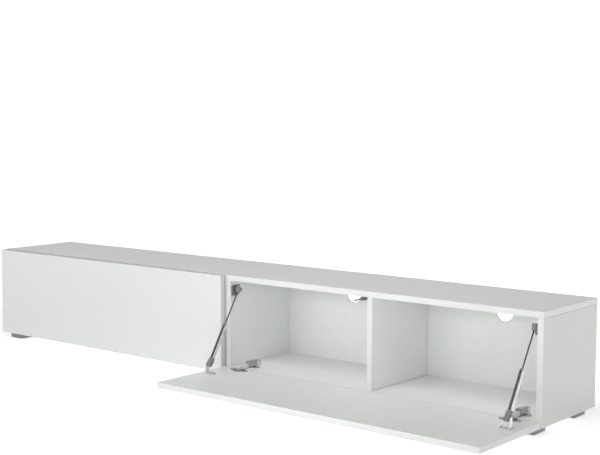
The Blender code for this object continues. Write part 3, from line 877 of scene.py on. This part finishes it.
def arm(name, x, axis):
    """The cranked arm, with the link to the pin and what is riveted and screwed to it."""
    seat = axis @ move(x, 0, 0)

    def fit(piece, place, material=ZINC):
        put(placed(piece, place), material, "carcass", "nickel")

    put(placed(arm_channel(name + "_channel"), seat), NICKEL, "carcass", "nickel", name)

    leg, neck = link_outlines()
    for label, outline, width, edge, material in (
        ("link", leg, LEG_WIDTH, 0.0006, ZINC),
        ("neck", neck, NECK_WIDTH, 0.0006, ZINC),
        # Dark block for the painted shade in the channel's mouth
        ("mouth", MOUTH_SHADE_OUTLINE, MOUTH_SHADE_WIDTH, 0.0003, DARK_PLASTIC),
    ):
        piece = plate(f"{name}_{label}", outline, width, edge=edge)
        fit(piece, on_edge(seat @ move(-width / 2, 0, 0)), material)
    across, back, up = BOSS_PLACE
    for label, side in (("left", -1), ("right", 1)):
        ring = lathe(f"{name}_boss_{label}", BOSS_PROFILE, 40)
        fit(ring, seat @ move(side * across, back, up) @ turn("Y", 90 * side))
    half = KNUCKLE_HALF
    shape = [(PIN_RADIUS + FIT, -half), (0.0026, -half), (KNUCKLE_RADIUS, 0.0003 - half)]
    shape += [(KNUCKLE_RADIUS, half - 0.0003), (0.0026, half), (PIN_RADIUS + FIT, half)]
    fit(lathe(name + "_knuckle", shape, 32), seat @ turn("Y", 90))

    for label, back, up, half in RIVETS:
        shape = [(0, -half), (0.0010, -half), (RIVET_RADIUS, -half + 0.0007)]
        shape += [(RIVET_RADIUS, half - 0.0007), (0.0010, half), (0, half)]
        rivet = lathe(f"{name}_{label}_rivet", shape, 20)
        fit(rivet, seat @ move(0, back, up) @ turn("Y", 90))
    fit(lathe(name + "_cam", CAM_PROFILE, 40), seat @ move(*CAM_PLACE))
    fit(cross_head(name + "_adjuster", 0.0027, 0.0026), seat @ move(*ADJUSTER_PLACE))
    core = plate(name + "_slide", slot_outline(0.0520, 0.0124), 0.0012, edge=0.0002)
    fit(core, seat @ move(*SLIDE_PLACE) @ turn("Z", 90))


def cross_head(name, radius, height):
    """A round screw end with a sunk cross."""
    rim = 0.0004
    head = lathe(
        name, [(0, 0), (radius, 0), (radius, height - rim), (radius - rim, height), (0, height)], 24
    )
    slot = slot_outline(radius * 1.5, 0.0009)
    cutters = [
        prism(f"{name}_cut_{index}", slot, move(0, 0, height) @ turn("Z", 90 * index), 0.002)
        for index in range(2)
    ]
    return carved(head, cutters)


def mounting_plate(name, x, axis, carcass_screws):
    """Base of the hinge on the floor panel: wings with screws, and the saddle under the arm."""
    row = PLATE_ROW + BOARD / 2 + FLAP_GAP
    base = BOARD / 2 + FIT
    hole_at = SCREW_PITCH / 2
    outline = []
    for sign, turned in ((1, 0), (-1, 180)):
        outline += arc((sign * hole_at, 0), WING_RADIUS, turned - 75, turned + 75, 11)
        outline += [(sign * 0.0085, WING_RADIUS * sign)]
    holes = [(-hole_at, 0, SCREW_HOLE), (hole_at, 0, SCREW_HOLE)]
    wings = plate(name + "_wings", outline, PLATE_SHEET, holes, 0.0004)
    put(placed(wings, axis @ move(x, row, base)), NICKEL, "carcass", "nickel", name)
    saddle = [(row - 0.0155, base + 0.0006), (row - 0.0155, base + 0.0070)]
    saddle += [(row - 0.0120, base + 0.0120), (row + 0.0190, base + 0.0120)]
    saddle += [(row + 0.0225, base + 0.0090), (row + 0.0225, base + 0.0006)]
    body = plate(name + "_saddle", saddle, SADDLE_WIDTH, edge=0.0006)
    spot = on_edge(axis @ move(x - SADDLE_WIDTH / 2, 0, 0))
    put(placed(body, spot), ZINC, "carcass", "nickel")
    for sign in (-1, 1):
        point = axis @ Vector((x + sign * hole_at, row, base + PLATE_SHEET + HEAD_LIFT))
        carcass_screws.append((point, Vector((0, 0, 1))))


def hinge(unit, side, flap_screws, carcass_screws):
    """Concealed hinge: cup in the flap, cranked arm and mounting plate in the cabinet."""
    name = f"{unit}_hinge_{side}"
    low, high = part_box(name + "_arm")
    x = (low.x + high.x) / 2
    axis, leaf = flap_frame(unit)
    cup(unit, name, x, leaf, flap_screws)
    arm(name + "_arm", x, axis)
    mounting_plate(name + "_plate", x, axis, carcass_screws)


# Strut's bracket: holes back and up from the ball, half section of its cone, and the housing's
# outline, off the panel and up
BRACKET_HOLES = [(0.014, -0.011, SCREW_HOLE), (0.014, 0.005, SCREW_HOLE)]
CONE_PROFILE = [
    (0, 0.0003), (0.0084, 0.0003), (0.0084, 0.0022), (0.0079, 0.0028), (0.0055, 0.0072),
    (0.0050, 0.0084), (0.0044, 0.0088), (0, 0.0088),
]
HOUSING_OUTLINE = [
    (0.0004, 0.0115), (0.0042, 0.0115), (0.0050, 0.0105), (0.0086, -0.0055), (0.0084, -0.0115),
    (0.0070, -0.0150), (0.0004, -0.0178),
]
HOUSING_WIDTH = 0.0195
HOUSING_NEAR = -0.0140
HOUSING_FAR = 0.0055

# Strut's moulded rod end, from its foot up the right side to the notch in its head, and its tube
FORK_OUTLINE = [
    (-0.0032, -0.0090), (0.0032, -0.0090), (0.0040, -0.0076), (0.0074, 0.0004), (0.0075, 0.0058),
    (0.0070, 0.0074), (0.0058, 0.0080), (0.0030, 0.0080), (0.0012, 0.0066), (0, 0.0062),
]
FORK_WIDTH = 0.0110
SOCKET_WIDTH = 0.0130
ROD_TOP = -0.0070
TUBE_FLOOR = 0.003
END_PLAY = 0.0015
# Radii of the tube's rolled groove and of its open end
GROOVE_RADIUS = 0.0061
MOUTH_RADIUS = 0.0037

# Profile of the opening that the ball's neck comes in by
NECK_CUT = [(0, 0), (0.0038, 0), (0.0038, 0.006), (0.0048, 0.0075), (0.0048, 0.02), (0, 0.02)]


def strut(unit, side, flap_screws, carcass_screws):
    """Gas strut between its ball on the end panel and its stud on the flap."""
    name = f"{unit}_strut_{side}"
    away = -1 if side == "left" else 1
    axis, leaf = flap_frame(unit)
    top = Vector(JOINTS[f"{unit}_{side}_strut_swing"]["pos_m"])
    stud = Vector((top.x, FLAP_FACE + STUD_HEIGHT, STUD_REACH))
    low_end = leaf @ stud
    shut = (axis @ stud - top).length
    up = (top - low_end).normalized()
    across = Vector((1, 0, 0))
    line = Matrix((across, up.cross(across), up)).transposed().to_4x4()
    tube_body = f"{unit}_{side}_tube_body"

    swing = Matrix.Translation(top) @ line
    slide = Matrix.Translation(low_end) @ line
    strut_bracket(name, away, Matrix.Translation(top), carcass_screws)
    strut_rod(name, away, swing, shut, f"{unit}_{side}_rod_body")
    strut_tube(name, slide, shut, tube_body)
    strut_socket(name, away, slide, tube_body)
    ear(unit, name, away, leaf @ move(top.x, 0, 0), flap_screws)


def strut_bracket(name, away, place, carcass_screws):
    """Bracket on the end panel: plate, cone, moulded housing and ball."""
    outline = arc((-0.005, 0.007), 0.005, 90, 180, 7)
    outline += arc((-0.0035, -0.0135), 0.0055, 190, 270, 7)
    outline += arc((0.016, -0.0125), 0.004, 285, 350, 6) + arc((0.018, 0.008), 0.004, 0, 90, 6)
    base = plate(name + "_bracket_base", outline, BRACKET_SHEET, BRACKET_HOLES, 0.0005)
    off = STRUT_FROM_PANEL - FIT
    panel = Matrix(((0, 0, -away, away * off), (1, 0, 0, 0), (0, 1, 0, 0), (0, 0, 0, 1)))
    seat = place @ panel
    put(placed(base, seat), DARK_COAT, "carcass", "dark_bracket", name + "_bracket")
    cone = lathe(name + "_bracket_cone", CONE_PROFILE, 40)
    put(placed(cone, seat), DARK_COAT, "carcass", "dark_bracket")
    housing = plate(name + "_bracket_housing", HOUSING_OUTLINE, HOUSING_WIDTH, edge=0.0007)
    start = HOUSING_NEAR if away > 0 else HOUSING_FAR
    beside = Matrix(((-away, 0, 0, away * off), (0, 0, away, start), (0, 1, 0, 0), (0, 0, 0, 1)))
    put(placed(housing, place @ beside), DARK_COAT, "carcass", "dark_bracket")
    ball = ball_stud(name + "_bracket_ball")
    put(placed(ball, seat @ move(0, 0, off)), ZINC, "carcass", "dark_bracket")
    for y, z, _ in BRACKET_HOLES:
        point = seat @ Vector((y, z, BRACKET_SHEET + HEAD_LIFT))
        carcass_screws.append((point, Vector((-away, 0, 0))))


def across_line(width):
    """Turn a sheet so that its outline follows the strut and its thickness lies across."""
    return Matrix(((0, 0, 1, -width / 2), (1, 0, 0, 0), (0, 1, 0, 0), (0, 0, 0, 1)))


def strut_rod(name, away, swing, shut, body):
    """Rod with its moulded end over the ball."""
    outline = FORK_OUTLINE + [(-x, height) for x, height in reversed(FORK_OUTLINE[2:-1])]
    end = plate(name + "_rod_end", outline, FORK_WIDTH, edge=0.0009)
    end = hollowed(placed(end, swing @ across_line(FORK_WIDTH)), swing, away)
    put(end, GREY_PLASTIC, body, "chrome", name + "_rod")
    length = shut - TUBE_SOCKET_LENGTH - TUBE_FLOOR - FIT
    shape = [(0, -length), (ROD_RADIUS - 0.0003, -length), (ROD_RADIUS, 0.0003 - length)]
    shape += [(ROD_RADIUS, ROD_TOP), (0, ROD_TOP)]
    put(placed(lathe(name + "_rod_bar", shape, 32), swing), ROD_STEEL, body, "chrome")


def strut_tube(name, slide, shut, body):
    """Tube with its rolled groove and neck, and the seal round the rod."""
    low = TUBE_SOCKET_LENGTH
    high = shut - ROD_SOCKET_LENGTH - END_PLAY
    bore = ROD_RADIUS + 0.0006
    shape = [(0, low), (0.0058, low), (TUBE_RADIUS, low + 0.0008), (TUBE_RADIUS, high - 0.0052)]
    shape += [(GROOVE_RADIUS, high - 0.0047), (GROOVE_RADIUS, high - 0.0040)]
    shape += [(TUBE_RADIUS, high - 0.0035), (TUBE_RADIUS, high - 0.0014), (0.0060, high - 0.0005)]
    shape += [(0.0050, high), (MOUTH_RADIUS, high), (MOUTH_RADIUS, high - 0.0012)]
    shape += [(bore, high - 0.0012), (bore, low + TUBE_FLOOR), (0, low + TUBE_FLOOR)]
    tube = lathe(name + "_tube_shell", shape, 48)
    put(placed(tube, slide), CHROME, body, "chrome", name + "_tube")
    lip = bore - 0.0003
    shape = [(lip, high - 0.0011), (0.0036, high - 0.0011), (0.0034, high - 0.0002)]
    shape += [(0.0028, high + 0.0004), (lip, high + 0.0004)]
    put(placed(lathe(name + "_seal", shape, 32), slide), DARK_PLASTIC, body, "chrome")


def strut_socket(name, away, slide, body):
    """Moulded socket at the foot, with its sleeve round the tube."""
    shoulder = TUBE_SOCKET_LENGTH - FIT
    outline = [(0.0063, shoulder), (-0.0063, shoulder)]
    outline += [(-0.0067, shoulder - 0.0012), (-0.0065, 0.004)]
    outline += arc((0, 0), SOCKET_RADIUS, 180, 360, 17)
    outline += [(0.0065, 0.004), (0.0067, shoulder - 0.0012)]
    socket = plate(name + "_socket_block", outline, SOCKET_WIDTH, edge=0.0011)
    socket = hollowed(placed(socket, slide @ across_line(SOCKET_WIDTH)), slide, away)
    put(socket, GREY_PLASTIC, body, "dark_plastic", name + "_socket")
    outer = SLEEVE_RADIUS - 0.0001
    inner = TUBE_RADIUS + 0.0002
    shape = [(0.0062, shoulder - 0.0030), (0.0072, shoulder - 0.0028), (outer, shoulder - 0.0016)]
    shape += [(outer, shoulder + 0.0050), (outer - 0.0004, shoulder + 0.0058)]
    shape += [(inner, shoulder + 0.0060), (inner, shoulder + 0.0001), (0.0062, shoulder + 0.0001)]
    put(placed(lathe(name + "_sleeve", shape, 48), slide), GREY_PLASTIC, body, "dark_plastic")


def ball_stud(name):
    """Ball at the origin on a neck that comes up along +Z."""
    profile = [(0, -0.0075), (0.0025, -0.0075), (0.0024, -0.0052), (0.0026, -0.0032)]
    profile += [
        (BALL_RADIUS * math.sin(math.radians(a)), -BALL_RADIUS * math.cos(math.radians(a)))
        for a in (52, 65, 78, 90, 105, 120, 135, 150, 165, 180)
    ]
    return lathe(name, profile, 32)


def hollowed(obj, place, away):
    """Cut the round seat of a ball, open on the side where its neck comes in."""
    bm = bmesh.new()
    bmesh.ops.create_uvsphere(bm, u_segments=32, v_segments=16, radius=SEAT_RADIUS)
    ball = placed(object_from(bm, obj.name + "_seat"), place)
    opening = placed(lathe(obj.name + "_mouth", NECK_CUT, 32), place @ turn("Y", 90 * away))
    return carved(obj, [ball, opening])


def ear(unit, name, away, place, flap_screws):
    """Bent strip on the flap: foot with two screws, a rolled bend and a round ear with its ball."""
    body = unit + "_flap_body"
    base = FLAP_FACE + FIT + BRACKET_SHEET / 2
    out = SLEEVE_RADIUS + FIT + BRACKET_SHEET / 2
    eye = FLAP_FACE + STUD_HEIGHT
    bend = 0.0026
    rise = 0.001
    tip = 0.0062
    wide = 0.0080
    path = [(across, base) for across in (-0.020, -0.0195, -0.018, -0.010, 0.0, out - bend)]
    for degrees in (22.5, 45, 67.5, 90):
        a = math.radians(degrees)
        path.append((out - bend + bend * math.sin(a), base + bend - bend * math.cos(a)))
    widths = [0.0055, 0.0070] + [wide] * 8
    for step in range(13):
        height = base + bend + rise + (eye + tip - base - bend - rise) * step / 12
        from_eye = height - eye
        narrow = wide - 0.0020 * min(1.0, max(0.0, (height - base - bend) / 0.014))
        if from_eye > -0.001:
            narrow = min(narrow, math.sqrt(max(1e-8, tip**2 - from_eye**2)))
        path.append((out, height))
        widths.append(max(narrow, 0.0006))
    rows = [
        [(away * across, height, STUD_REACH + half * part) for part in (-1, -0.5, 0, 0.5, 1)]
        for (across, height), half in zip(path, widths)
    ]
    strip = skin(name + "_ear", rows)
    thicken(strip, BRACKET_SHEET, 0.0)
    rounded(strip, 0.0004, 2, 50)
    strip = settle(placed(strip, place))
    put(strip, ZINC, body, "bright_steel", name + "_flap_bracket")
    toward = Matrix(((0, 0, -away, 0), (0, 1, 0, 0), (1, 0, 0, 0), (0, 0, 0, 1)))
    stud = ball_stud(name + "_ear_ball")
    put(placed(stud, place @ move(0, eye, STUD_REACH) @ toward), ZINC, body, "bright_steel")
    face = base + BRACKET_SHEET / 2
    for across in (-0.015, -0.003):
        point = place @ Vector((away * across, face + HEAD_LIFT, STUD_REACH + 0.0005))
        flap_screws.append((point, place.to_3x3() @ Vector((0, 1, 0))))


# Push latch: half width and bore of its barrel, the lugs beside it, and the plunger's two shapes
BARREL_HALF = 0.0052
BARREL_BORE = 0.0041
COLLAR_PROFILE = [
    (BARREL_BORE, 0), (0.0050, 0), (0.0050, 0.0030), (0.0046, 0.0036), (BARREL_BORE, 0.0036),
]
COLLAR_SINK = 0.0030
LUG_SHEET = 0.0026
LUG_DROP = 0.0027
LUG_RADIUS = 0.0069
LUG_ROOT = 0.0044
LUG_HOLE = (0.0088, 0, 0.0016)
LUG_BACK = 0.037
PLUNGER_TIP = 0.0026
NOSE_END = [(0.0017, -0.0050), (0.0017, -0.0058), (0, -0.0058)]
SHANK_PROFILE = [
    (0, -0.0055), (0.0015, -0.0055), (0.0016, -0.0155), (0.0018, -0.0165), (0.0037, -0.0300),
    (0.0038, -0.0310), (0.0038, -0.0330), (0.0035, -0.0334), (0.0035, -0.0350), (0.0038, -0.0354),
    (0.0038, -0.0576), (0.0034, -0.0580), (0, -0.0580),
]


def latch(unit, carcass_screws):
    """Push latch under the top panel: barrel with a lug on each side, and its plunger."""
    low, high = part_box(unit + "_latch_body")
    tip_low, tip_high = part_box(unit + "_latch_plunger")
    x = (low.x + high.x) / 2
    height = (tip_low.z + tip_high.z) / 2
    half = BARREL_HALF
    roof = high.z - height
    outline = [(-half, roof), (-half, 0)] + arc((0, 0), half, 180, 360, 15)[1:-1]
    outline += [(half, 0), (half, roof)]
    bore = [(0, 0, BARREL_BORE)]
    barrel = plate(unit + "_latch_barrel", outline, high.y - low.y, bore, 0.0006)
    stand = move(x, high.y, height) @ turn("X", 90)
    put(placed(barrel, stand), GREY_PLASTIC, "carcass", "grey_plastic", unit + "_latch_body")
    collar = lathe(unit + "_latch_collar", COLLAR_PROFILE, 32)
    stand = move(x, low.y + COLLAR_SINK, height) @ turn("X", 90)
    put(placed(collar, stand), DARK_PLASTIC, "carcass", "grey_plastic")

    lug_outline = [(LUG_ROOT, -LUG_RADIUS)] + arc((0.0055, 0), LUG_RADIUS, -90, 90, 13)
    lug_outline += [(LUG_ROOT, LUG_RADIUS)]
    row = low.y + LUG_BACK
    under = high.z - LUG_DROP
    for sign, side in ((-1, "left"), (1, "right")):
        lug = plate(f"{unit}_latch_{side}_lug", lug_outline, LUG_SHEET, [LUG_HOLE], 0.0004)
        spot = move(x, row, under) @ turn("Z", 0 if sign > 0 else 180)
        put(placed(lug, spot), GREY_PLASTIC, "carcass", "grey_plastic")
        point = Vector((x + sign * LUG_HOLE[0], row, under - HEAD_LIFT))
        carcass_screws.append((point, Vector((0, 0, -1))))

    body = unit + "_plunger_body"
    stand = move(x, tip_low.y, height) @ turn("X", 90)
    nose = [(0, 0)]
    for degrees in range(12, 132, 12):
        a = math.radians(degrees)
        nose.append((PLUNGER_TIP * math.sin(a), PLUNGER_TIP * math.cos(a) - PLUNGER_TIP))
    piece = placed(lathe(unit + "_latch_nose", nose + NOSE_END, 32), stand)
    put(piece, DARK_PLASTIC, body, "dark_plastic", unit + "_latch_plunger")
    piece = placed(lathe(unit + "_latch_shank", SHANK_PROFILE, 32), stand)
    put(piece, GREY_PLASTIC, body, "dark_plastic")


carcass_screws = []
for unit in UNITS:
    flap_screws = []
    for side in SIDES:
        hinge(unit, side, flap_screws, carcass_screws)
        strut(unit, side, flap_screws, carcass_screws)
    latch(unit, carcass_screws)
    screws(unit + "_flap_screws", flap_screws, unit + "_flap_body")
screws("carcass_screws", carcass_screws, "carcass")


# Floor, light and camera

# Brightness of the room at its horizon and above it, and where one turns into the other
HORIZON_BACK = 1.02
HORIZON_FRONT = 0.98
HORIZON_TURN = (-0.5, 0.1)
SKY_RISE = (0.18, 0.45)
SIDE_SKY = 0.12
BACK_SKY = 0.15
TOP_SKY = 0.13
FLOOR_HALF = 60.0
# Glow of the floor near the cabinet, and the distances at which it rises to the far one
NEAR_GLOW = 0.53
FAR_GLOW = 0.953
GLOW_RISE = (1.25, 2.3)
BEHIND_RISE = (0.25, 0.6)
# Edges of the shade under the cabinet, where the floor hardly glows
SHADE_GLOW = 0.01
SHADE_ENDS = (0.90, 0.98)
SHADE_FRONT = (0.03, 0.09)
SHADE_REAR = (0.18, 0.26)
# Camera, solved from the board corners: place, direction in radians, and lens
CAMERA_PLACE = (2.35095, -2.62481, 0.78131)
CAMERA_YAW = 0.7033
CAMERA_PITCH = 0.0979
LENS = 74.444
LENS_SHIFT = 0.0667
# Power, size, place, aim, spread, and whether it lights surfaces and shows in gloss
SOFT_BOXES = {
    "right_box": (4.0, (2.0, 1.2), (1.9, -3.4, 1.9), (0.5, 0.0, 0.15), 180, True, True),
    "front_box": (13.0, (3.0, 1.2), (0.3, -2.4, 2.6), (0.2, 0.0, 0.15), 180, True, False),
    "high_box": (38.0, (3.0, 1.2), (0.6, -1.5, 3.0), (0.4, -0.2, 0.1), 180, True, False),
    "cabinet_box": (0.38, (1.0, 0.4), (-0.4, -3.0, 0.9), (0.62, 0.25, 0.10), 30, True, False),
    "left_bay_box": (0.18, (0.8, 0.4), (1.6, -3.0, 1.0), (0.3, 0.2, 0.10), 14, True, False),
    "gloss_strip": (2.2, (0.45, 1.0), (2.5, -0.55, 1.03), (0.5, -0.1, 0.15), 180, False, True),
}


def pale_floor():
    """A white sheet that glows a little, to stay as pale as the photographed ground."""
    paint = Paint("pale_floor", (0.9, 0.9, 0.9), 0.9)
    cloud = paint.noise(0.8, 2.0, 0.5)
    paint.tones(cloud, 0.3, 0.7, (0.89, 0.89, 0.89), (0.905, 0.905, 0.905))
    paint.set("Specular IOR Level", 0.1)
    length = {"operation": "LENGTH"}
    away = paint.node("ShaderNodeVectorMath", length, paint.position(), output="Value")
    behind = paint.fade(paint.axis(1), *BEHIND_RISE)
    far = paint.fade(away, *GLOW_RISE).higher_of(behind)
    glow = paint.blend(far, (NEAR_GLOW,) * 3, (FAR_GLOW,) * 3)
    along, depth = paint.axis(0), paint.axis(1)
    shade = paint.fade(along.absolute(), *SHADE_ENDS, 1.0, 0.0)
    shade = shade * paint.fade(depth, *SHADE_REAR, 1.0, 0.0)
    shade = shade * paint.fade(depth, *SHADE_FRONT)
    paint.set("Emission Color", paint.blend(shade, glow, (SHADE_GLOW,) * 3))
    paint.set("Emission Strength", 1.0)
    bm = bmesh.new()
    bmesh.ops.create_grid(bm, x_segments=2, y_segments=2, size=FLOOR_HALF)
    floor = object_from(bm, "floor")
    floor.data.materials.append(paint.material)


def area_light(name, power, size, place, target, spread, diffuse, glossy):
    data = bpy.data.lights.new(name, "AREA")
    data.energy = power
    data.spread = math.radians(spread)
    data.shape = "RECTANGLE"
    data.size, data.size_y = size
    obj = bpy.data.objects.new(name, data)
    bpy.context.scene.collection.objects.link(obj)
    obj.location = place
    obj.rotation_euler = (Vector(target) - Vector(place)).to_track_quat("-Z", "Y").to_euler()
    obj.visible_camera = False
    obj.visible_diffuse = diffuse
    obj.visible_glossy = glossy


def studio():
    """Pale room, brightest at the horizon behind the cabinet, with its soft boxes."""
    world = bpy.data.worlds.new("studio")
    world.use_nodes = True
    room = Shading(world.node_tree)
    ray = room.node("ShaderNodeTexCoord", {}, output="Generated")
    along, depth, height = room.parts(ray)
    sides = ((depth, -1), (depth, 1), (height, 1))
    front, back, top = ((axis * sign).higher_of(0.0) for axis, sign in sides)
    sky = (front * front + along * along) * SIDE_SKY + back * back * BACK_SKY + top * top * TOP_SKY
    above = room.fade(height, *SKY_RISE)
    horizon = room.fade(depth, *HORIZON_TURN, HORIZON_FRONT, HORIZON_BACK)
    level = horizon * (1 - above) + sky * above
    background = room.tree.nodes["Background"]
    background.inputs["Color"].default_value = (1.0, 1.0, 1.0, 1.0)
    room.tree.links.new(level.socket, background.inputs["Strength"])
    bpy.context.scene.world = world
    for name, box in SOFT_BOXES.items():
        area_light(name, *box)
    bpy.context.scene.view_settings.view_transform = "Standard"


def camera():
    """The photographed view."""
    level = math.cos(CAMERA_PITCH)
    look = Vector(
        (-math.sin(CAMERA_YAW) * level, math.cos(CAMERA_YAW) * level, -math.sin(CAMERA_PITCH))
    )
    data = bpy.data.cameras.new("camera")
    data.sensor_width = 36.0
    data.lens = LENS
    data.shift_x = LENS_SHIFT
    data.clip_end = 200.0
    obj = bpy.data.objects.new("camera", data)
    bpy.context.scene.collection.objects.link(obj)
    obj.location = CAMERA_PLACE
    obj.rotation_euler = look.to_track_quat("-Z", "Y").to_euler()
    bpy.context.scene.camera = obj


pale_floor()
studio()
camera()
